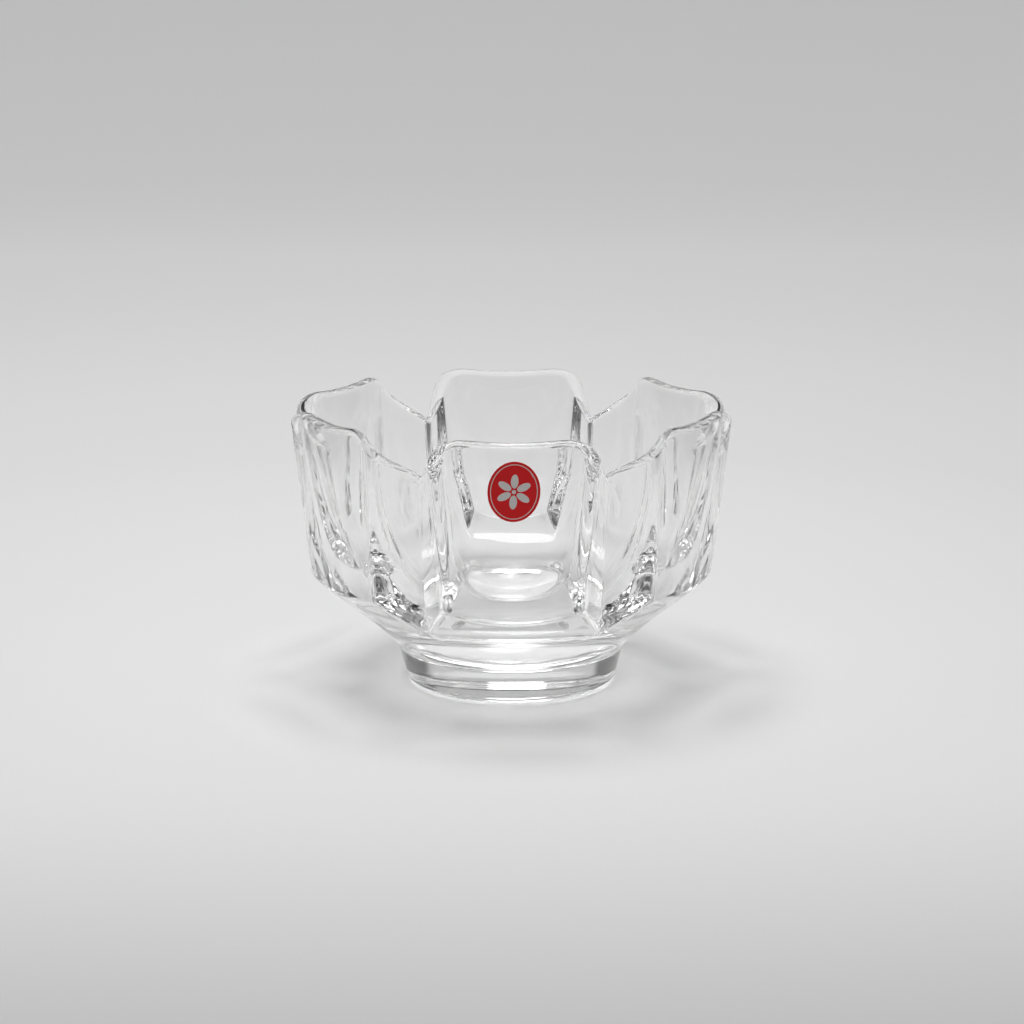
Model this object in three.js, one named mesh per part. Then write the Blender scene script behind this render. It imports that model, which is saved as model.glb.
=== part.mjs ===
// Crystal bowl: a six-lobed vessel of thick clear glass on a solid round foot, with an oval label
// on its front panel. Millimetres, +Z up. The origin is the centre of the foot's underside, and
// the front panel faces -Y.
import * as THREE from 'three';

// Lobes: each has one flat outer panel, and a V-groove parts it from its neighbour
const LOBE_COUNT = 6;
const RIM_HEIGHT = 93;
const PANEL_APOTHEM_AT_RIM = 68;
const PANEL_LEAN = THREE.MathUtils.degToRad(4.8);
const PANEL_HALF_WIDTH_AT_RIM = 27.3;
const PANEL_SIDE_LEAN = THREE.MathUtils.degToRad(5.2);
const GROOVE_RADIUS_AT_RIM = 60.2;
const GROOVE_LEAN = THREE.MathUtils.degToRad(5);

// Rim: each panel's top is a shallow saddle with round shoulders, and falls into a notch at each groove
const RIM_SADDLE = 1.2;
const SHOULDER_WIDTH = 8;
const SHOULDER_DROP = 4.8;
const NOTCH_DEPTH = 15.2;
const RIM_ROUND = 1.6;

// Underside: a curve from the foot's top edge out to the panels' lower corners
const UNDERSIDE_REACH = 27.6;
const UNDERSIDE_RISE = 24.7;
const UNDERSIDE_EASE = 0.8;

// Cavity: a deep round hollow. Near the rim it follows the lobes, with a rounded ridge behind each
// groove and a hollow face behind each panel, and the faces grow rounder with depth until they are one
// circle. The inset is how far an inner corner lies sideways from the outer one. The corners soften with
// depth, by so much for each mm below the rim.
const PANEL_WALL_AT_RIM = 4.2;
const GROOVE_WALL = 3.6;
const INNER_CORNER_INSET = 2.75;
const INNER_CORNER_SOFTNESS_AT_RIM = 1.2;
const INNER_CORNER_SOFTENING = 0.045;
const RIDGE_ROUND = THREE.MathUtils.degToRad(2);
const FACE_RADIUS_AT_RIM = 420;
const FACE_ROUND_DEPTH = 50;
const HOLLOW_CROWN_RISE = 8;
const HOLLOW_FULLNESS = 3.3;
const FLOOR_THICKNESS = 2;

// Foot: a solid disc, a little narrower below, with a rounded lower edge
const FOOT_HEIGHT = 11.4;
const FOOT_TOP_RADIUS = 37.3;
const FOOT_TAPER = 1.9;
const FOOT_EDGE_ROUND = 3.4;

// Label: a thin oval on the front panel
const LABEL_WIDTH = 16;
const LABEL_HEIGHT = 19;
const LABEL_THICKNESS = 0.25;
const LABEL_DROP = 16;
const LABEL_GAP = 0.3;

// Fineness of the facets
const PANEL_SHARES = [0, 0.35, 0.7, 0.85, 0.94, 1];
const FLANK_SHARES = [0.12, 0.3, 0.55, 0.8, 1];
const UNDERSIDE_SHARES = [0, 0.06, 0.2, 0.45, 0.72];
const WALL_SHARES = [0, 0.33, 0.67];
const RIM_STEPS = 6;
const CAVITY_SHARES = [0, 0.15, 0.3, 0.45, 0.6, 0.72, 0.82, 0.9, 0.95, 0.985];
const ROUND_SIDES = 72;
const FOOT_EDGE_STEPS = 5;

const HALF_LOBE_TURN = Math.PI / LOBE_COUNT;
const GROOVE_DIRECTION = new THREE.Vector2(Math.sin(HALF_LOBE_TURN), Math.cos(HALF_LOBE_TURN));
const FLOOR_HEIGHT = FOOT_HEIGHT + FLOOR_THICKNESS;

// Flat panels and grooves by height

function panelApothem(z) {
  return PANEL_APOTHEM_AT_RIM - (RIM_HEIGHT - z) * Math.tan(PANEL_LEAN);
}

function panelHalfWidth(z) {
  return PANEL_HALF_WIDTH_AT_RIM - (RIM_HEIGHT - z) * Math.tan(PANEL_SIDE_LEAN);
}

function grooveRadius(z) {
  return GROOVE_RADIUS_AT_RIM - (RIM_HEIGHT - z) * Math.tan(GROOVE_LEAN);
}

// A station is a place across half a lobe: a share of the flat panel from its middle to its
// corner, or a share of the flank from that corner to the groove's bottom.
const HALF_LOBE = [
  ...PANEL_SHARES.map((share) => ({ onPanel: true, share })),
  ...FLANK_SHARES.map((share) => ({ onPanel: false, share })),
];

function panelCorner(z) {
  return new THREE.Vector2(panelHalfWidth(z), panelApothem(z));
}

function grooveBottom(z) {
  return GROOVE_DIRECTION.clone().multiplyScalar(grooveRadius(z));
}

// Place on the outside at a height: across the lobe (x, sideways) and out from the axis (y)
function outerPlace(station, z) {
  const corner = panelCorner(z);
  if (station.onPanel) {
    return new THREE.Vector2(corner.x * station.share, corner.y);
  }
  return corner.lerp(grooveBottom(z), station.share);
}

// How far the cavity reaches behind the middle of a panel
function cavityReach(z) {
  const crown = RIM_HEIGHT + HOLLOW_CROWN_RISE;
  const down = (crown - z) / (crown - FLOOR_HEIGHT);
  const widest = PANEL_APOTHEM_AT_RIM - PANEL_WALL_AT_RIM;
  return widest * Math.sqrt(Math.max(0, 1 - down ** HOLLOW_FULLNESS));
}

// The smaller of two distances, with a rounded change from one to the other
function softLeast(first, second, softness) {
  const apart = Math.abs(first - second);
  return Math.min(first, second) - softness * Math.log1p(Math.exp(-apart / softness));
}

// Place on the cavity's wall: the nearer of the hollow face and of the flank from the inner corner to
// the ridge
function cavityPlace(station, z) {
  const direction = outerPlace(station, z).normalize();

  const reach = cavityReach(z);
  const roundness = Math.min(1, (RIM_HEIGHT - z) / FACE_ROUND_DEPTH);
  const faceRadius = 1 / THREE.MathUtils.lerp(1 / FACE_RADIUS_AT_RIM, 1 / reach, roundness);
  const faceCentre = reach - faceRadius;
  const faceHalfChord = Math.sqrt(faceRadius ** 2 - (faceCentre * direction.x) ** 2);
  const toFace = faceCentre * direction.y + faceHalfChord;

  const ridge = grooveRadius(z) - GROOVE_WALL;
  const inset = new THREE.Vector2(INNER_CORNER_INSET, PANEL_WALL_AT_RIM);
  const flank = panelCorner(z).sub(inset).sub(GROOVE_DIRECTION.clone().multiplyScalar(ridge));
  const flankTurn = Math.atan2(-flank.x, flank.y);
  const beforeRidge = HALF_LOBE_TURN - Math.atan2(direction.x, direction.y);
  const turn = HALF_LOBE_TURN + RIDGE_ROUND - Math.hypot(beforeRidge, RIDGE_ROUND);
  const toFlank = (ridge * Math.sin(HALF_LOBE_TURN + flankTurn)) / Math.sin(turn + flankTurn);
  const softness = INNER_CORNER_SOFTNESS_AT_RIM + INNER_CORNER_SOFTENING * (RIM_HEIGHT - z);
  return direction.multiplyScalar(softLeast(toFace, toFlank, softness));
}

// Height of the rim above a station
function rimHeight(station) {
  if (!station.onPanel) {
    return RIM_HEIGHT - THREE.MathUtils.lerp(SHOULDER_DROP, NOTCH_DEPTH, station.share);
  }
  const fromMiddle = PANEL_HALF_WIDTH_AT_RIM * station.share;
  const levelHalf = PANEL_HALF_WIDTH_AT_RIM - SHOULDER_WIDTH;
  const intoShoulder = Math.max(0, fromMiddle - levelHalf) / SHOULDER_WIDTH;
  const saddle = RIM_SADDLE * Math.max(0, 1 - (fromMiddle / levelHalf) ** 2);
  return RIM_HEIGHT - saddle - SHOULDER_DROP * intoShoulder ** 2;
}

function undersideHeight(radius) {
  const out = Math.max(0, radius - FOOT_TOP_RADIUS) / UNDERSIDE_REACH;
  return FOOT_HEIGHT + UNDERSIDE_RISE * out ** UNDERSIDE_EASE;
}

// Height at which a station's outer wall meets the underside, found by stepping towards it
function lowerEdgeHeight(station) {
  let z = FOOT_HEIGHT + UNDERSIDE_RISE;
  for (let step = 0; step < 40; step += 1) {
    z = (z + undersideHeight(outerPlace(station, z).length())) / 2;
  }
  return z;
}

// One station's points from the vessel's flat base, out and up to the rim, then down to the floor
function stationProfile(station) {
  const points = [];
  const add = (place, z) => points.push(new THREE.Vector3(place.x, place.y, z));

  const low = lowerEdgeHeight(station);
  const lowPlace = outerPlace(station, low);
  for (const share of UNDERSIDE_SHARES) {
    const radius = THREE.MathUtils.lerp(FOOT_TOP_RADIUS, lowPlace.length(), share);
    add(lowPlace.clone().setLength(radius), undersideHeight(radius));
  }

  const rimStart = rimHeight(station) - RIM_ROUND;
  for (const share of WALL_SHARES) {
    const z = THREE.MathUtils.lerp(low, rimStart, share);
    add(outerPlace(station, z), z);
  }

  const outerEdge = outerPlace(station, rimStart);
  const innerEdge = cavityPlace(station, rimStart);
  for (let step = 0; step < RIM_STEPS; step += 1) {
    const turn = (step / RIM_STEPS) * Math.PI;
    const place = outerEdge.clone().lerp(innerEdge, (1 - Math.cos(turn)) / 2);
    add(place, rimStart + RIM_ROUND * Math.sin(turn));
  }

  for (const share of CAVITY_SHARES) {
    const z = THREE.MathUtils.lerp(rimStart, FLOOR_HEIGHT, share);
    add(cavityPlace(station, z), z);
  }
  return points;
}

// All columns of the vessel, anticlockwise from above, starting at the front lobe
function vesselColumns() {
  const profiles = HALF_LOBE.map(stationProfile);
  const columns = [];
  for (let lobe = 0; lobe < LOBE_COUNT; lobe += 1) {
    const facing = -Math.PI / 2 + (lobe * 2 * Math.PI) / LOBE_COUNT;
    const place = (point, side) => {
      const sideways = point.x * side;
      return new THREE.Vector3(
        point.y * Math.cos(facing) - sideways * Math.sin(facing),
        point.y * Math.sin(facing) + sideways * Math.cos(facing),
        point.z,
      );
    };
    for (let index = HALF_LOBE.length - 1; index > 0; index -= 1) {
      columns.push(profiles[index].map((point) => place(point, -1)));
    }
    for (let index = 0; index < HALF_LOBE.length - 1; index += 1) {
      columns.push(profiles[index].map((point) => place(point, 1)));
    }
  }
  return columns;
}

// Closed skin over the columns, with a point on the axis at each end
function vesselGeometry() {
  const columns = vesselColumns();
  const rows = columns[0].length;
  const points = columns.flat();
  const baseMiddle = points.length;
  points.push(new THREE.Vector3(0, 0, FOOT_HEIGHT));
  const floorMiddle = points.length;
  points.push(new THREE.Vector3(0, 0, FLOOR_HEIGHT));

  const triangles = [];
  columns.forEach((_, column) => {
    const here = column * rows;
    const next = ((column + 1) % columns.length) * rows;
    triangles.push(baseMiddle, next, here);
    for (let row = 0; row < rows - 1; row += 1) {
      triangles.push(here + row, next + row, next + row + 1);
      triangles.push(here + row, next + row + 1, here + row + 1);
    }
    triangles.push(floorMiddle, here + rows - 1, next + rows - 1);
  });

  const geometry = new THREE.BufferGeometry().setFromPoints(points);
  geometry.setIndex(triangles);
  geometry.computeVertexNormals();
  return geometry;
}

function footGeometry() {
  const sideRadius = FOOT_TOP_RADIUS - FOOT_TAPER;
  const flatRadius = sideRadius - FOOT_EDGE_ROUND;
  const profile = [new THREE.Vector2(0, 0)];
  for (let step = 0; step <= FOOT_EDGE_STEPS; step += 1) {
    const turn = (step / FOOT_EDGE_STEPS) * (Math.PI / 2);
    const radius = flatRadius + FOOT_EDGE_ROUND * Math.sin(turn);
    profile.push(new THREE.Vector2(radius, FOOT_EDGE_ROUND * (1 - Math.cos(turn))));
  }
  profile.push(new THREE.Vector2(FOOT_TOP_RADIUS, FOOT_HEIGHT));
  profile.push(new THREE.Vector2(0, FOOT_HEIGHT));
  const geometry = new THREE.LatheGeometry(profile, ROUND_SIDES);
  geometry.rotateX(Math.PI / 2);
  return geometry;
}

function labelGeometry() {
  const outline = new THREE.Shape();
  outline.absellipse(0, 0, LABEL_WIDTH / 2, LABEL_HEIGHT / 2, 0, 2 * Math.PI);
  return new THREE.ExtrudeGeometry(outline, {
    depth: LABEL_THICKNESS,
    bevelEnabled: false,
    curveSegments: ROUND_SIDES / 2,
  });
}

const crystal = { color: 0xe9eef0, roughness: 0.03, metalness: 0 };
const redFoil = { color: 0xb3161c, roughness: 0.35, metalness: 0 };

const vessel = new THREE.Mesh(vesselGeometry(), new THREE.MeshStandardMaterial(crystal));
vessel.name = 'vessel';

const foot = new THREE.Mesh(footGeometry(), new THREE.MeshStandardMaterial(crystal));
foot.name = 'foot';

// The label leans with the front panel and lies just off it
const label = new THREE.Mesh(labelGeometry(), new THREE.MeshStandardMaterial(redFoil));
label.name = 'label';
const labelHeight = RIM_HEIGHT - LABEL_DROP;
label.rotation.x = Math.PI / 2 + PANEL_LEAN;
label.position.set(
  0,
  -panelApothem(labelHeight) - LABEL_GAP * Math.cos(PANEL_LEAN),
  labelHeight - LABEL_GAP * Math.sin(PANEL_LEAN),
);

const bowl = new THREE.Group();
bowl.name = 'crystal_bowl';
bowl.add(vessel, foot, label);

export default bowl;
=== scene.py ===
# %% [markdown]
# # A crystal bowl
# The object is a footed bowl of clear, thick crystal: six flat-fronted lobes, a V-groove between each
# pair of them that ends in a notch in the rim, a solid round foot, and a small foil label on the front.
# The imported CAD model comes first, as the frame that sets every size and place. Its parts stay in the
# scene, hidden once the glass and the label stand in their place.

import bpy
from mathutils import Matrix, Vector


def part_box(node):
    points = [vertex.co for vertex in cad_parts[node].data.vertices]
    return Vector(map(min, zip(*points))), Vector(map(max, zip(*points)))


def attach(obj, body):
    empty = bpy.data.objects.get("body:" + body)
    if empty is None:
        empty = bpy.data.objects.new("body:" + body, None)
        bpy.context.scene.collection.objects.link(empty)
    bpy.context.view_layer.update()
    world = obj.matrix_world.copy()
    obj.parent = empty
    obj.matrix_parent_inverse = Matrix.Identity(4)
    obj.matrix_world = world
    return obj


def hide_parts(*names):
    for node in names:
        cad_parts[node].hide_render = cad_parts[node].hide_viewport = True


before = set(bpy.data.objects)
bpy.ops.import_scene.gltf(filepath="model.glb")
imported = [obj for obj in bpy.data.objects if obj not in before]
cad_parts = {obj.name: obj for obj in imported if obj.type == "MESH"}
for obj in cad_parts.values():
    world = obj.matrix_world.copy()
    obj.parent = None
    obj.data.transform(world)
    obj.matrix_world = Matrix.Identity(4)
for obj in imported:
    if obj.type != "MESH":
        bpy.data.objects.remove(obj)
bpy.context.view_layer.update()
print("CAD nodes:", sorted(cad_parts))

# %% [markdown]
# Three small helpers are used throughout. Operators act on whatever is selected, so each step begins by
# deselecting everything. Colours are written as the hex values that a colour picker shows, and the
# shaders want linear light, so one function converts them. Node trees are long to write out, so one
# function adds a node, sets its values and links its inputs.

# %% Helpers
import math

import bpy
import numpy as np
from mathutils import Matrix, Vector

MM = 0.001


def deselect_all():
    """Leaves nothing selected, in object mode."""
    if bpy.context.object and bpy.context.object.mode != "OBJECT":
        bpy.ops.object.mode_set(mode="OBJECT")
    bpy.ops.object.select_all(action="DESELECT")


def pick(piece):
    """Makes one piece the only selected and active one."""
    deselect_all()
    piece.select_set(True)
    bpy.context.view_layer.objects.active = piece


def linear(hex_colour):
    """Turns an sRGB hex colour such as "b3161c" into linear RGBA."""
    parts = [int(hex_colour[i:i + 2], 16) / 255 for i in (0, 2, 4)]
    return [c / 12.92 if c <= 0.04045 else ((c + 0.055) / 1.055) ** 2.4 for c in parts] + [1.0]


def add_node(tree, kind, **settings):
    """Adds a node. A setting named for an input, with _ for a space, is its value or the output to link."""
    node = tree.nodes.new(kind)
    for name, value in settings.items():
        socket = node.inputs.get(name.replace("_", " "))
        if socket is None:
            setattr(node, name, value)
        elif isinstance(value, bpy.types.NodeSocket):
            tree.links.new(value, socket)
        else:
            socket.default_value = value
    return node


def new_material(name):
    """An empty node material and its tree."""
    material = bpy.data.materials.new(name)
    material.use_nodes = True
    material.node_tree.nodes.clear()
    return material, material.node_tree


bpy.context.scene.view_settings.view_transform = "Standard"
print("helpers ready")

# %% [markdown]
# The camera stands in front of the bowl and looks slightly down on it. Its height, distance and lens were
# fitted to the bowl's edges, so the near and far rims are as far apart as they should be. A small shift
# sets the bowl where it lies in the frame, which is better than turning the camera, because that would
# make the upright edges lean.

# %% Camera
VIEW_TARGET = Vector((0, 0, 0.045))
VIEW_DISTANCE = 0.8078
VIEW_DOWN = math.radians(13.46)
VIEW_AROUND = math.radians(0.76)
FRAME_PIXELS, FOCAL_PIXELS = 1024, 2439.0
SHIFT_RIGHT_PIXELS, SHIFT_UP_PIXELS = 1.0, 31.6
FILM_WIDTH_MM = 36

camera_data = bpy.data.cameras.new("camera")
camera = bpy.data.objects.new("camera", camera_data)
bpy.context.scene.collection.objects.link(camera)
camera_data.sensor_width = FILM_WIDTH_MM
camera_data.lens = FOCAL_PIXELS / FRAME_PIXELS * FILM_WIDTH_MM
camera_data.shift_x = SHIFT_RIGHT_PIXELS / FRAME_PIXELS
camera_data.shift_y = SHIFT_UP_PIXELS / FRAME_PIXELS
away = Vector((0, -math.cos(VIEW_DOWN), math.sin(VIEW_DOWN))) * VIEW_DISTANCE
away.rotate(Matrix.Rotation(-VIEW_AROUND, 3, "Z"))
camera.location = VIEW_TARGET + away
camera.rotation_euler = (math.pi / 2 - VIEW_DOWN, 0, -VIEW_AROUND)
bpy.context.scene.camera = camera
print("camera at", [round(c, 4) for c in camera.location], "lens", round(camera_data.lens, 2), "mm")

# %% [markdown]
# The glass is one continuous skin: outside wall, rim, cavity and foot run into each other with soft,
# fire-polished edges. Box modelling would need many bevels that meet at odd angles. It is easier to
# see that every level section of the bowl is the same kind of curve, flat or hollow faces that meet
# planar flanks, so one formula can give them all. A flat grid is then draped over half a lobe by that
# formula, mirrored, and copied round the axis. The sizes are those of the CAD model, in millimetres,
# except that the floor lies 1.2 mm higher and the underside is a little fuller, which suits the way
# that the glass bends the light there.

# %% Sizes of the glass
RIM_HEIGHT = 93.0
PANEL_APOTHEM, PANEL_LEAN = 68.0, math.tan(math.radians(4.8))
PANEL_HALF_WIDTH, PANEL_SIDE_LEAN = 27.3, math.tan(math.radians(5.2))
GROOVE_RADIUS, GROOVE_LEAN = 60.2, math.tan(math.radians(5))
RIM_SADDLE, SHOULDER_WIDTH, SHOULDER_DROP, NOTCH_DEPTH = 1.2, 8.0, 4.8, 15.2
FOOT_HEIGHT, FOOT_TOP_RADIUS, FOOT_TAPER, FOOT_EDGE_ROUND = 11.4, 37.3, 1.9, 3.4
UNDERSIDE_REACH, UNDERSIDE_RISE, UNDERSIDE_EASE = 27.6, 24.7, 0.83
PANEL_WALL, GROOVE_WALL, INNER_CORNER_INSET = 4.2, 3.6, 2.75
FACE_RADIUS_AT_RIM, FACE_ROUND_DEPTH = 420.0, 50.0
CROWN_ABOVE_RIM, HOLLOW_FULLNESS, FLOOR_HEIGHT = 8.0, 3.3, 14.6
HOLLOW_CROWN = RIM_HEIGHT + CROWN_ABOVE_RIM
LOBES = 6
HALF_LOBE = math.pi / LOBES

# How soft the edges are: the panels' corners and lower edges, and the cavity's inner corners, in mm
OUTER_SOFT, INNER_SOFT = 1.1, 1.2
# How round the groove's bottom and the ridge behind it are, as an angle about the axis
GROOVE_ROUND, RIDGE_ROUND = math.radians(0.4), math.radians(2)
# How much softer the inner corners grow with each mm below the rim
INNER_SOFTENING = 0.045
# How tall the rounded top of the rim is
RIM_CAP = 2.0
# A panel counts as a part of a very wide circle, and the cavity never shrinks quite to a point
FLAT_CURVE, LEAST_REACH = 1e-5, 1e-4
print("bowl", 2 * PANEL_APOTHEM, "mm across its panels,", RIM_HEIGHT, "mm tall")

# %% Sections at any height
def flank_turn(across, out, valley):
    """Angle of a flank that runs from a corner to the valley between two lobes."""
    return np.arctan2(valley * math.sin(HALF_LOBE) - across, out - valley * math.cos(HALF_LOBE))


def outer_sizes(z):
    """Panel distance, panel half width, groove radius and flank angle of the outside at heights z."""
    depth = RIM_HEIGHT - z
    apothem = PANEL_APOTHEM - depth * PANEL_LEAN
    half_width = PANEL_HALF_WIDTH - depth * PANEL_SIDE_LEAN
    groove = GROOVE_RADIUS - depth * GROOVE_LEAN
    return apothem, half_width, groove, flank_turn(half_width, apothem, groove)


def soft_least(a, b, softness):
    """The smaller of two distances, with a rounded change from one to the other."""
    return -softness * np.logaddexp(-a / softness, -b / softness)


def face_and_flank(turn, reach, curve, valley, flank, valley_round):
    """Distances from the axis to a lobe's face and to its flank, at angles from the lobe's middle."""
    centre = reach - 1 / curve
    face = centre * np.cos(turn) + np.sqrt(1 / curve ** 2 - (centre * np.sin(turn)) ** 2)
    from_valley = HALF_LOBE - turn
    rounded = HALF_LOBE - (np.sqrt(from_valley ** 2 + valley_round ** 2) - valley_round)
    return face, valley * np.sin(HALF_LOBE + flank) / np.sin(rounded + flank)


def underside_radius(z):
    """Radius of the flared underside at heights z."""
    rise = np.maximum(z - FOOT_HEIGHT, 0) / UNDERSIDE_RISE
    return FOOT_TOP_RADIUS + UNDERSIDE_REACH * rise ** (1 / UNDERSIDE_EASE)


def cavity_sizes(z):
    """Reach behind a panel, face curvature, ridge radius and flank angle of the cavity at heights z."""
    depth = RIM_HEIGHT - z
    down = np.clip((HOLLOW_CROWN - z) / (HOLLOW_CROWN - FLOOR_HEIGHT), 0, 1)
    reach = (PANEL_APOTHEM - PANEL_WALL) * np.sqrt(1 - down ** HOLLOW_FULLNESS) + LEAST_REACH
    roundness = np.minimum(1, depth / FACE_ROUND_DEPTH)
    curve = (1 - roundness) / FACE_RADIUS_AT_RIM + roundness / reach
    apothem, half_width, groove, _ = outer_sizes(z)
    ridge = groove - GROOVE_WALL
    return reach, curve, ridge, flank_turn(half_width - INNER_CORNER_INSET, apothem - PANEL_WALL, ridge)


print("cavity reach at mid-height:", round(float(cavity_sizes(np.array(50.0))[0]), 2), "mm")

# %% Columns across half a lobe
# Columns crowd together at the corner and the groove, where the glass turns. A column's angle follows
# the corner, so edges run along the mesh and not across it.
FACE_COLUMNS, CORNER_COLUMNS, FLANK_COLUMNS, VALLEY_COLUMNS = 16, 10, 12, 6
CORNER_ZONE, VALLEY_ZONE = math.radians(2.2), math.radians(1.6)
# The cavity's corner is looked for by halving, from the first of these angles, and used up to the second
CORNER_FROM, CORNER_TO, HALVINGS = math.radians(5), math.radians(24), 30

face_share = np.arange(FACE_COLUMNS) / FACE_COLUMNS
corner_share = np.arange(CORNER_COLUMNS + 1) / CORNER_COLUMNS
flank_share = np.arange(1, FLANK_COLUMNS) / FLANK_COLUMNS
valley_share = np.arange(VALLEY_COLUMNS + 1) / VALLEY_COLUMNS
column_follow = np.concatenate([face_share, np.ones(CORNER_COLUMNS + 1), 1 - flank_share, 0 * valley_share])
column_start = np.concatenate([
    -CORNER_ZONE * face_share,
    CORNER_ZONE * (2 * corner_share - 1),
    CORNER_ZONE * (1 - flank_share) + (HALF_LOBE - VALLEY_ZONE) * flank_share,
    HALF_LOBE - VALLEY_ZONE * (1 - valley_share),
])
COLUMNS = len(column_start)


def outer_place(z):
    """Angle and distance from the axis of every column on the outside, at one height per column."""
    apothem, half_width, groove, flank = outer_sizes(z)
    turn = column_start + column_follow * np.arctan2(half_width, apothem)
    face, side = face_and_flank(turn, apothem, FLAT_CURVE, groove, flank, GROOVE_ROUND)
    wall = soft_least(face, side, OUTER_SOFT)
    return turn, soft_least(wall, underside_radius(z), OUTER_SOFT), wall


def cavity_place(z):
    """Angle and distance from the axis of every column in the cavity, at one height per column."""
    sizes = cavity_sizes(z)
    low, high = np.full(COLUMNS, CORNER_FROM), np.full(COLUMNS, HALF_LOBE)
    for _ in range(HALVINGS):
        middle = (low + high) / 2
        face, side = face_and_flank(middle, *sizes, RIDGE_ROUND)
        low, high = np.where(side > face, middle, low), np.where(side > face, high, middle)
    turn = column_start + column_follow * np.minimum(low, CORNER_TO)
    face, side = face_and_flank(turn, *sizes, RIDGE_ROUND)
    return turn, soft_least(face, side, INNER_SOFT + INNER_SOFTENING * (RIM_HEIGHT - z))


print(COLUMNS, "columns across half a lobe")

# %% Rim and lower edge
# The rim dips a little in the middle of a panel, rounds off at its shoulders and slopes to the notch.
# The lower edge lies where the wall meets the underside, and is found by repeated steps towards it.
RIM_SMOOTHINGS, EDGE_STEPS = 6, 60
turn, radius, _ = outer_place(np.full(COLUMNS, RIM_HEIGHT))
across, out = radius * np.sin(turn), radius * np.cos(turn)
apothem, half_width, groove, _ = outer_sizes(RIM_HEIGHT)
corner = np.array([half_width, apothem])
valley = groove * np.array([math.sin(HALF_LOBE), math.cos(HALF_LOBE)])
level_half = half_width - SHOULDER_WIDTH
into_shoulder = np.clip((across - level_half) / SHOULDER_WIDTH, 0, 1)
flank_run = valley - corner
down_flank = (np.stack([across, out], 1) - corner) @ flank_run / (flank_run @ flank_run)
down_flank = np.clip(down_flank, 0, 1)
rim = RIM_HEIGHT - RIM_SADDLE * np.clip(1 - (across / level_half) ** 2, 0, 1)
rim = rim - SHOULDER_DROP * into_shoulder ** 2 - (NOTCH_DEPTH - SHOULDER_DROP) * down_flank
for _ in range(RIM_SMOOTHINGS):
    neighbours = np.concatenate([rim[1:2], rim, rim[-2:-1]])
    rim = neighbours[:-2] / 4 + rim / 2 + neighbours[2:] / 4

low = np.full(COLUMNS, FOOT_HEIGHT + UNDERSIDE_RISE)
for _ in range(EDGE_STEPS):
    wall = outer_place(low)[2]
    reached = np.maximum(wall - FOOT_TOP_RADIUS, 0) / UNDERSIDE_REACH
    low = (low + FOOT_HEIGHT + UNDERSIDE_RISE * reached ** UNDERSIDE_EASE) / 2
print("rim from", rim.min().round(2), "to", rim.max().round(2), "mm")
print("lower edge from", low.min().round(2), "to", low.max().round(2), "mm")

# %% Rows from the foot's underside, over the rim, to the cavity's floor
# Rows crowd together at edges. Most are given as shares of the way along their part of the glass.
BASE_SHARES = (0, 0.2, 0.4, 0.6, 0.75, 0.87, 0.95)
FOOT_SIDE_SHARES = (0.2, 0.5, 0.8, 0.93)
UNDERSIDE_SHARES = (0, 0.01, 0.03, 0.07, 0.13, 0.2, 0.28, 0.37, 0.47, 0.57, 0.67, 0.77, 0.86, 0.94)
WALL_SHARES = (0.05, 0.12, 0.2, 0.3, 0.4, 0.5, 0.6, 0.7, 0.8, 0.88, 0.94, 0.98)
# Heights above and below the lower edge, in mm
EDGE_OFFSETS = (-2, -1.3, -0.8, -0.4, 0, 0.4, 0.8, 1.3, 2)
FOOT_ROUND_ROWS, RIM_ROWS, CAVITY_ROWS = 9, 19, 60
rows = []


def add_row(turn, radius, z):
    """One row of points across half a lobe, facing -Y."""
    z = np.broadcast_to(z, (COLUMNS,))
    rows.append(np.stack([radius * np.sin(turn), -radius * np.cos(turn), z], 1))


foot_turn = outer_place(low)[0]
side_radius = FOOT_TOP_RADIUS - FOOT_TAPER
for share in BASE_SHARES:
    add_row(foot_turn, share * (side_radius - FOOT_EDGE_ROUND), 0)
for quarter in np.linspace(0, math.pi / 2, FOOT_ROUND_ROWS):
    radius = side_radius - FOOT_EDGE_ROUND * (1 - math.sin(quarter))
    add_row(foot_turn, radius, FOOT_EDGE_ROUND * (1 - math.cos(quarter)))
for share in FOOT_SIDE_SHARES:
    z = FOOT_EDGE_ROUND + share * (FOOT_HEIGHT - FOOT_EDGE_ROUND)
    add_row(foot_turn, side_radius + FOOT_TAPER * share, z)
for share in UNDERSIDE_SHARES:
    z = FOOT_HEIGHT + share * (low + EDGE_OFFSETS[0] - FOOT_HEIGHT)
    add_row(foot_turn, outer_place(z)[1], z)
for step in EDGE_OFFSETS:
    turn, radius, _ = outer_place(low + step)
    add_row(turn, radius, low + step)
rim_start = rim - RIM_CAP
wall_start = low + EDGE_OFFSETS[-1]
for share in WALL_SHARES:
    z = wall_start + share * (rim_start - wall_start)
    turn, radius, _ = outer_place(z)
    add_row(turn, radius, z)
outer_turn, outer_radius, _ = outer_place(rim_start)
inner_turn, inner_radius = cavity_place(rim_start)
for quarter in np.linspace(0, math.pi, RIM_ROWS):
    inward = (1 - math.cos(quarter)) / 2
    turn = outer_turn + (inner_turn - outer_turn) * inward
    radius = outer_radius + (inner_radius - outer_radius) * inward
    add_row(turn, radius, rim_start + RIM_CAP * math.sin(quarter))
rim_down = (HOLLOW_CROWN - rim_start) / (HOLLOW_CROWN - FLOOR_HEIGHT)
for share in np.linspace(0, 1, CAVITY_ROWS)[1:]:
    down = rim_down + (1 - rim_down) * math.sin(share * math.pi / 2) ** (2 / HOLLOW_FULLNESS)
    z = HOLLOW_CROWN - down * (HOLLOW_CROWN - FLOOR_HEIGHT)
    turn, radius = cavity_place(z)
    add_row(turn, radius * (share < 1), z)
half_lobe_points = np.array(rows) * MM
print(len(rows), "rows by", COLUMNS, "columns")

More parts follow.
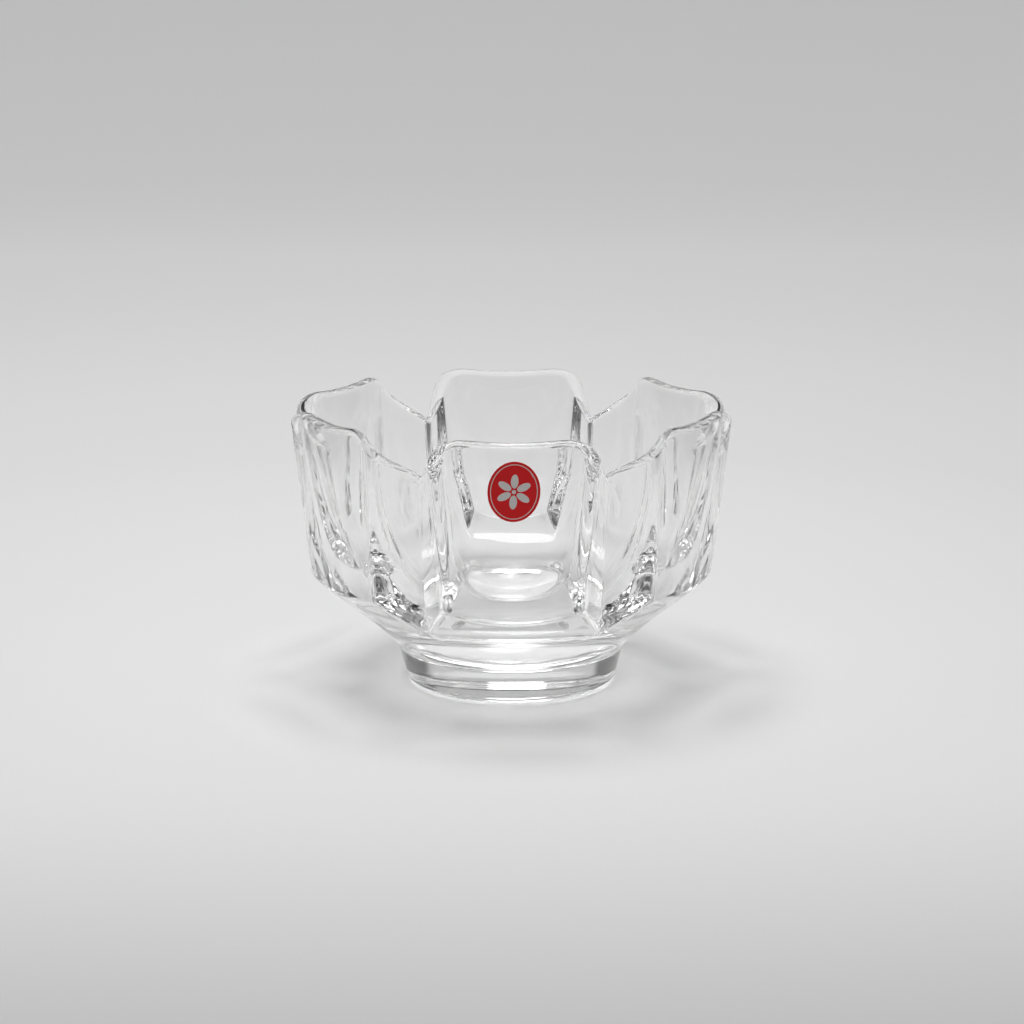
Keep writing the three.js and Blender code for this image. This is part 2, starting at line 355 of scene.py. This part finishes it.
# %% Drape a grid over half a lobe
SEAM_MERGE, LOBE_MERGE, LEAST_EDGE = 1e-6, 2e-6, 1e-7
deselect_all()
bpy.ops.mesh.primitive_grid_add(x_subdivisions=COLUMNS - 1, y_subdivisions=len(rows) - 1, size=1)
bowl = bpy.context.object
bowl.name = "crystal_bowl"
flat = np.zeros(len(bowl.data.vertices) * 3)
bowl.data.vertices.foreach_get("co", flat)
column = np.rint((flat[0::3] + 0.5) * (COLUMNS - 1)).astype(int)
row = np.rint((flat[1::3] + 0.5) * (len(rows) - 1)).astype(int)
bowl.data.vertices.foreach_set("co", half_lobe_points[row, column].ravel())
bowl.data.update()
bpy.ops.object.modifier_add(type="MIRROR")
bowl.modifiers[-1].merge_threshold = SEAM_MERGE
bpy.ops.object.modifier_apply(modifier=bowl.modifiers[-1].name)
print("one lobe has", len(bowl.data.polygons), "faces")

# %% Copy the lobe round the axis and close the skin
lobes = [bowl]
for turn in range(1, LOBES):
    pick(bowl)
    bpy.ops.object.duplicate()
    lobe = bpy.context.object
    lobe.rotation_euler.z = turn * 2 * HALF_LOBE
    bpy.ops.object.transform_apply(location=False, rotation=True, scale=False)
    lobes.append(lobe)
deselect_all()
for lobe in lobes:
    lobe.select_set(True)
bpy.context.view_layer.objects.active = bowl
bpy.ops.object.join()
bpy.ops.object.mode_set(mode="EDIT")
bpy.ops.mesh.select_all(action="SELECT")
bpy.ops.mesh.remove_doubles(threshold=LOBE_MERGE)
bpy.ops.mesh.dissolve_degenerate(threshold=LEAST_EDGE)
bpy.ops.mesh.normals_make_consistent(inside=False)
bpy.ops.object.mode_set(mode="OBJECT")
bpy.ops.object.shade_smooth()
bpy.ops.object.modifier_add(type="WEIGHTED_NORMAL")
bowl.modifiers[-1].keep_sharp = False
bpy.ops.object.modifier_apply(modifier=bowl.modifiers[-1].name)
print("crystal bowl has", len(bowl.data.polygons), "faces")

# %% [markdown]
# Crystal is glass with a high share of metal oxide: colourless, very clear and brighter than window
# glass, with an index of about 1.54. The wall was fire-polished, which leaves it smooth with a faint
# slow waviness, and the resting face of the foot is ground and lightly scuffed by use. So the shader is
# a plain glass with a weak, wide bump, and a rougher patch only on the face that touches the table.

# %% Lead crystal
crystal, tree = new_material("fire_polished_lead_crystal")
place = add_node(tree, "ShaderNodeTexCoord").outputs["Object"]
CRYSTAL_IOR = 1.54
WAVE_SIZE, WAVE_HEIGHT = 22 * MM, 0.02 * MM
waves = add_node(tree, "ShaderNodeTexNoise", Vector=place, Scale=1 / WAVE_SIZE, Detail=1.0)
polish = add_node(tree, "ShaderNodeBump", Height=waves.outputs["Fac"], Strength=1.0, Distance=WAVE_HEIGHT)
SCUFF_SIZE, SCUFF_REACH = 1.5 * MM, 0.3 * MM
SCUFF_LEAST, SCUFF_MOST = 0.02, 0.3
scuffs = add_node(tree, "ShaderNodeTexNoise", Vector=place, Scale=1 / SCUFF_SIZE, Detail=4.0)
height = add_node(tree, "ShaderNodeSeparateXYZ", Vector=place).outputs["Z"]
resting = add_node(
    tree, "ShaderNodeMapRange", Value=height, From_Min=0.0, From_Max=SCUFF_REACH, To_Min=1.0, To_Max=0.0,
)
worn = add_node(
    tree, "ShaderNodeMapRange", Value=scuffs.outputs["Fac"], From_Min=0.5, From_Max=0.8,
    To_Min=SCUFF_LEAST, To_Max=SCUFF_MOST,
)
rough = add_node(tree, "ShaderNodeMath", operation="MULTIPLY")
tree.links.new(resting.outputs["Result"], rough.inputs[0])
tree.links.new(worn.outputs["Result"], rough.inputs[1])
glass = add_node(
    tree, "ShaderNodeBsdfPrincipled", Base_Color=(1, 1, 1, 1), Transmission_Weight=1.0, IOR=CRYSTAL_IOR,
    Roughness=rough.outputs["Value"], Normal=polish.outputs["Normal"],
)
add_node(tree, "ShaderNodeOutputMaterial", Surface=glass.outputs["BSDF"])
bowl.data.materials.append(crystal)
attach(bowl, "root")
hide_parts("vessel", "foot")
print("crystal on", bowl.name)

# %% [markdown]
# The label is a small oval of printed foil, stuck by hand on the outside of the front panel, so it sits a
# little askew. A filled circle is squeezed to the oval. Insets mark off a thin printed line, and each
# new inner face gets its own finish while it is still selected. The oval is then given the thickness
# of foil. Its motif is a flower with as many petals as the bowl has lobes, printed in bare foil, and
# near the edge is a short crease where the lacquer has cracked.

# %% Label materials
red, tree = new_material("red_lacquer_on_foil")
place = add_node(tree, "ShaderNodeTexCoord").outputs["Object"]
PRINT_GRAIN, EMBOSS_HEIGHT = 0.25 * MM, 0.02 * MM
grain = add_node(tree, "ShaderNodeTexNoise", Vector=place, Scale=1 / PRINT_GRAIN, Detail=2.0)
ink = add_node(tree, "ShaderNodeMix", data_type="RGBA", Factor=grain.outputs["Fac"])
ink.inputs["A"].default_value = linear("e8181e")
ink.inputs["B"].default_value = linear("d61318")
emboss = add_node(tree, "ShaderNodeBump", Height=grain.outputs["Fac"], Strength=0.3, Distance=EMBOSS_HEIGHT)
lacquer = add_node(
    tree, "ShaderNodeBsdfPrincipled", Roughness=0.5, IOR=1.5, Specular_IOR_Level=0.25,
    Normal=emboss.outputs["Normal"],
)
tree.links.new(ink.outputs["Result"], lacquer.inputs["Base Color"])
add_node(tree, "ShaderNodeOutputMaterial", Surface=lacquer.outputs["BSDF"])

silver, tree = new_material("pale_printed_foil")
place = add_node(tree, "ShaderNodeTexCoord").outputs["Object"]
grain = add_node(tree, "ShaderNodeTexNoise", Vector=place, Scale=1 / PRINT_GRAIN, Detail=2.0)
pale = add_node(tree, "ShaderNodeMix", data_type="RGBA", Factor=grain.outputs["Fac"])
pale.inputs["A"].default_value = linear("e2dedb")
pale.inputs["B"].default_value = linear("d3cfcc")
foil = add_node(tree, "ShaderNodeBsdfPrincipled", Roughness=0.45, IOR=1.5)
tree.links.new(pale.outputs["Result"], foil.inputs["Base Color"])
add_node(tree, "ShaderNodeOutputMaterial", Surface=foil.outputs["BSDF"])
print("label materials:", red.name, silver.name)

# %% Label oval
LABEL_WIDTH, LABEL_HEIGHT, LABEL_THICKNESS = 16 * MM, 19 * MM, 0.15 * MM
LINE_INSET, LINE_WIDTH = 0.8 * MM, 0.25 * MM
OVAL_POINTS = 128
RED, SILVER = 0, 1
deselect_all()
bpy.ops.mesh.primitive_circle_add(vertices=OVAL_POINTS, radius=0.5, fill_type="NGON")
label = bpy.context.object
label.name = "oval_label"
label.scale = (LABEL_WIDTH, LABEL_HEIGHT, 1)
bpy.ops.object.transform_apply(location=False, rotation=False, scale=True)
label.data.materials.append(red)
label.data.materials.append(silver)
bpy.ops.object.mode_set(mode="EDIT")
bpy.ops.mesh.select_all(action="SELECT")
for inset, finish in ((LINE_INSET, SILVER), (LINE_WIDTH, RED)):
    bpy.ops.mesh.inset(thickness=inset, depth=0)
    label.active_material_index = finish
    bpy.ops.object.material_slot_assign()
bpy.ops.object.mode_set(mode="OBJECT")
bpy.ops.object.modifier_add(type="SOLIDIFY")
label.modifiers[-1].thickness = LABEL_THICKNESS
label.modifiers[-1].offset = -1
label.modifiers[-1].material_offset = SILVER
bpy.ops.object.modifier_apply(modifier=label.modifiers[-1].name)
print("label oval has", len(label.data.polygons), "faces")

# %% Label motif
# Each printed mark is a very thin disc, half sunk into the foil.
PRINT_THICKNESS = 0.03 * MM
MARK_POINTS = 40
PETALS, PETAL_LONG, PETAL_WIDE, PETAL_OUT = 6, 4.4 * MM, 2.3 * MM, 3.3 * MM
CENTRE_DOT = 1.3 * MM
CREASE_LONG, CREASE_WIDE, CREASE_TURN = 2.2 * MM, 0.14 * MM, math.radians(-62)
CREASE_X, CREASE_Y = 4.9 * MM, 5.9 * MM
marks = [label]


def print_mark(long, wide, x, y, turn):
    """Adds one oval printed mark to the label's front."""
    deselect_all()
    bpy.ops.mesh.primitive_cylinder_add(
        vertices=MARK_POINTS, radius=0.5, depth=PRINT_THICKNESS, location=(x, y, 0),
    )
    mark = bpy.context.object
    mark.scale = (long, wide, 1)
    mark.rotation_euler.z = turn
    bpy.ops.object.transform_apply(location=True, rotation=True, scale=True)
    mark.data.materials.append(silver)
    marks.append(mark)


for turn in np.arange(PETALS) * 2 * math.pi / PETALS + math.pi / 2:
    print_mark(PETAL_LONG, PETAL_WIDE, PETAL_OUT * math.cos(turn), PETAL_OUT * math.sin(turn), turn)
print_mark(CENTRE_DOT, CENTRE_DOT, 0, 0, 0)
print_mark(CREASE_LONG, CREASE_WIDE, CREASE_X, CREASE_Y, CREASE_TURN)
deselect_all()
for mark in marks:
    mark.select_set(True)
bpy.context.view_layer.objects.active = label
bpy.ops.object.join()
print("label with", len(marks) - 1, "printed marks")

# %% Stick the label on
ASKEW, GLUE = math.radians(-4), 0.02 * MM
low_corner, high_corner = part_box("label")
label_z = (low_corner.z + high_corner.z) / 2
panel_y = -(PANEL_APOTHEM * MM - (RIM_HEIGHT * MM - label_z) * PANEL_LEAN)
label.rotation_euler = (math.pi / 2 + math.atan(PANEL_LEAN), 0, 0)
label.rotation_euler.rotate_axis("Z", ASKEW)
label.location = (0, panel_y - (LABEL_THICKNESS + GLUE), label_z)
pick(label)
bpy.ops.object.transform_apply(location=True, rotation=True, scale=False)
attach(label, "root")
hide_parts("label")
print("label at height", round(label_z * 1000, 2), "mm")

# %% [markdown]
# The bowl stands on pale grey paper that curves up all round it, so no view has a hard horizon. The
# paper is a disc whose edge is extruded up a cove, ring by ring. It lies a hair below the foot, because
# two faces in one plane would flicker dark where the glass meets the paper.

# %% Paper sweep
FLOOR_GAP = 0.3 * MM
FLAT_RADIUS, COVE_RADIUS, SWEEP_HEIGHT = 1.8, 0.6, 1.0
SWEEP_POINTS, COVE_RINGS = 128, 13
deselect_all()
bpy.ops.mesh.primitive_circle_add(
    vertices=SWEEP_POINTS, radius=FLAT_RADIUS, fill_type="TRIFAN", location=(0, 0, -FLOOR_GAP),
)
sweep = bpy.context.object
sweep.name = "paper_sweep"
bpy.ops.object.mode_set(mode="EDIT")
bpy.ops.mesh.select_all(action="DESELECT")
bpy.ops.mesh.select_mode(type="EDGE")
bpy.ops.mesh.select_non_manifold()
cove_angles = np.linspace(0, math.pi / 2, COVE_RINGS)
cove = [(FLAT_RADIUS + COVE_RADIUS * math.sin(a), COVE_RADIUS * (1 - math.cos(a))) for a in cove_angles]
cove.append((FLAT_RADIUS + COVE_RADIUS, SWEEP_HEIGHT))
for (radius, z), (next_radius, next_z) in zip(cove, cove[1:]):
    bpy.ops.mesh.extrude_region_move(TRANSFORM_OT_translate={"value": (0, 0, next_z - z)})
    grow = next_radius / radius
    bpy.ops.transform.resize(value=(grow, grow, 1), center_override=(0, 0, 0))
bpy.ops.object.mode_set(mode="OBJECT")
bpy.ops.object.shade_smooth()
print("sweep of", len(sweep.data.polygons), "faces")

# %% [markdown]
# Clear glass shows little of itself: what is seen are its surroundings, bent. So the light is laid out
# as in a studio. The paper's colour is painted light and shade: painted light round the bowl and behind
# it, falling off to painted shade at the sides and in front, where the room is dim. These darker parts
# draw the grey lines along the edges of the glass. The paper behind has a painted glow of its own, in
# place of a second lamp that would show in the glass.

# %% Background paper
paper, tree = new_material("matt_paper_painted_light_and_shade")
place = add_node(tree, "ShaderNodeTexCoord").outputs["Object"]
axes = add_node(tree, "ShaderNodeSeparateXYZ", Vector=place)
sideways = add_node(tree, "ShaderNodeMath", operation="ABSOLUTE")
tree.links.new(axes.outputs["X"], sideways.inputs[0])
back = add_node(tree, "ShaderNodeMath", operation="MAXIMUM")
tree.links.new(axes.outputs["Y"], back.inputs[0])
back.inputs[1].default_value = 0
# Painted light: a lighter strip on the paper that widens behind the bowl
STRIP_WIDENING, STRIP_EDGE, STRIP_END = -0.6, 0.15, 0.46
from_strip = add_node(tree, "ShaderNodeMath", operation="MULTIPLY_ADD")
tree.links.new(back.outputs[0], from_strip.inputs[0])
from_strip.inputs[1].default_value = STRIP_WIDENING
tree.links.new(sideways.outputs[0], from_strip.inputs[2])
strip = add_node(
    tree, "ShaderNodeMapRange", interpolation_type="SMOOTHSTEP", Value=from_strip.outputs[0],
    From_Min=STRIP_EDGE, From_Max=STRIP_END, To_Min=1.0, To_Max=0.0,
)
# Painted shade: the paper darkens towards the front
FRONT_EDGE, FRONT_END, FRONT_LEVEL = -0.1, -0.52, 0.2
front = add_node(
    tree, "ShaderNodeMapRange", interpolation_type="SMOOTHSTEP", Value=axes.outputs["Y"],
    From_Min=FRONT_EDGE, From_Max=FRONT_END, To_Min=1.0, To_Max=FRONT_LEVEL,
)
distance = add_node(tree, "ShaderNodeVectorMath", operation="LENGTH")
tree.links.new(place, distance.inputs[0])
# Painted light: the paper is lightest right round the bowl and dims a little with distance
POOL_EDGE, POOL_END, POOL_LEVEL = 0.05, 0.4, 0.84
painted_light_round_bowl = add_node(
    tree, "ShaderNodeMapRange", Value=distance.outputs["Value"], From_Min=POOL_EDGE, From_Max=POOL_END,
    To_Min=1.0, To_Max=POOL_LEVEL,
)
painted_strip_light = add_node(tree, "ShaderNodeMath", operation="MULTIPLY")
tree.links.new(strip.outputs["Result"], painted_strip_light.inputs[0])
tree.links.new(front.outputs["Result"], painted_strip_light.inputs[1])
painted_light_level = add_node(tree, "ShaderNodeMath", operation="MULTIPLY")
tree.links.new(painted_strip_light.outputs[0], painted_light_level.inputs[0])
tree.links.new(painted_light_round_bowl.outputs["Result"], painted_light_level.inputs[1])
FIBRE_SIZE = 0.8 * MM
fibre = add_node(tree, "ShaderNodeTexNoise", Vector=place, Scale=1 / FIBRE_SIZE, Detail=3.0)
tone = add_node(tree, "ShaderNodeMix", data_type="RGBA", Factor=fibre.outputs["Fac"])
tone.inputs["A"].default_value = linear("e9e9e9")
tone.inputs["B"].default_value = linear("ececec")
# Painted shade: outside the painted light the paper is mixed towards the dark grey 8c8c8c
shade = add_node(tree, "ShaderNodeMix", data_type="RGBA", Factor=painted_light_level.outputs[0])
shade.inputs["A"].default_value = linear("8c8c8c")
tree.links.new(tone.outputs["Result"], shade.inputs["B"])

# Painted glow: the paper far behind the bowl emits light of its own, standing in for a second lamp
GLOW_START, GLOW_FULL, GLOW = 0.1, 1.2, 0.14
far = add_node(
    tree, "ShaderNodeMapRange", Value=axes.outputs["Y"], From_Min=GLOW_START, From_Max=GLOW_FULL,
    To_Max=GLOW,
)
glow = add_node(tree, "ShaderNodeMath", operation="MULTIPLY")
tree.links.new(strip.outputs["Result"], glow.inputs[0])
tree.links.new(far.outputs["Result"], glow.inputs[1])
sheet = add_node(
    tree, "ShaderNodeBsdfPrincipled", Roughness=0.95, Emission_Color=(1, 1, 1, 1),
    Emission_Strength=glow.outputs[0],
)
tree.links.new(shade.outputs["Result"], sheet.inputs["Base Color"])
add_node(tree, "ShaderNodeOutputMaterial", Surface=sheet.outputs["BSDF"])
sweep.data.materials.append(paper)
print("paper glows behind, from", GLOW_START, "to", GLOW_FULL, "m")

# %% Lamp
# A round lamp hangs above, a little behind and to the left. It is small enough for the glass to gather
# its light into a ring round the foot. Its mirror image is switched off, as it would show as a hard spot.
LAMP_PLACE, LAMP_WIDTH, LAMP_WATTS = (-0.08, 0.1, 1.2), 0.75, 8.7
deselect_all()
bpy.ops.object.light_add(type="AREA", location=LAMP_PLACE)
softbox = bpy.context.object
softbox.name = "softbox"
softbox.data.shape = "DISK"
softbox.data.size = LAMP_WIDTH
softbox.data.energy = LAMP_WATTS
softbox.visible_glossy = False
print("lamp of", softbox.data.energy, "W")

# %% Room
# The room is dim. It is lighter at the ceiling, and in front, behind the camera. Light needs many bounces
# to find its way out of thick glass, and without blur_glossy = 0 the light that it gathers would smear.
CEILING_START, CEILING_FULL, WALL_LEVEL, CEILING_LEVEL = 0.4, 0.95, 0.05, 0.65
AHEAD_START, AHEAD_FULL, AHEAD_LEVEL = -0.55, -0.9, 0.55
GLASS_BOUNCES, MIRROR_BOUNCES = 24, 12
room = bpy.data.worlds.new("dim_room")
bpy.context.scene.world = room
room.use_nodes = True
tree = room.node_tree
tree.nodes.clear()
direction = add_node(tree, "ShaderNodeTexCoord").outputs["Generated"]
axes = add_node(tree, "ShaderNodeSeparateXYZ", Vector=direction)
upward = add_node(
    tree, "ShaderNodeMapRange", interpolation_type="SMOOTHSTEP", Value=axes.outputs["Z"],
    From_Min=CEILING_START, From_Max=CEILING_FULL, To_Min=WALL_LEVEL, To_Max=CEILING_LEVEL,
)
ahead = add_node(
    tree, "ShaderNodeMapRange", interpolation_type="SMOOTHSTEP", Value=axes.outputs["Y"],
    From_Min=AHEAD_START, From_Max=AHEAD_FULL, To_Min=0.0, To_Max=AHEAD_LEVEL,
)
strength = add_node(tree, "ShaderNodeMath", operation="ADD")
tree.links.new(upward.outputs["Result"], strength.inputs[0])
tree.links.new(ahead.outputs["Result"], strength.inputs[1])
background = add_node(tree, "ShaderNodeBackground", Color=(1, 1, 1, 1), Strength=strength.outputs[0])
add_node(tree, "ShaderNodeOutputWorld", Surface=background.outputs["Background"])
bpy.context.scene.cycles.max_bounces = GLASS_BOUNCES
bpy.context.scene.cycles.transmission_bounces = GLASS_BOUNCES
bpy.context.scene.cycles.glossy_bounces = MIRROR_BOUNCES
bpy.context.scene.cycles.blur_glossy = 0
print("room ready")
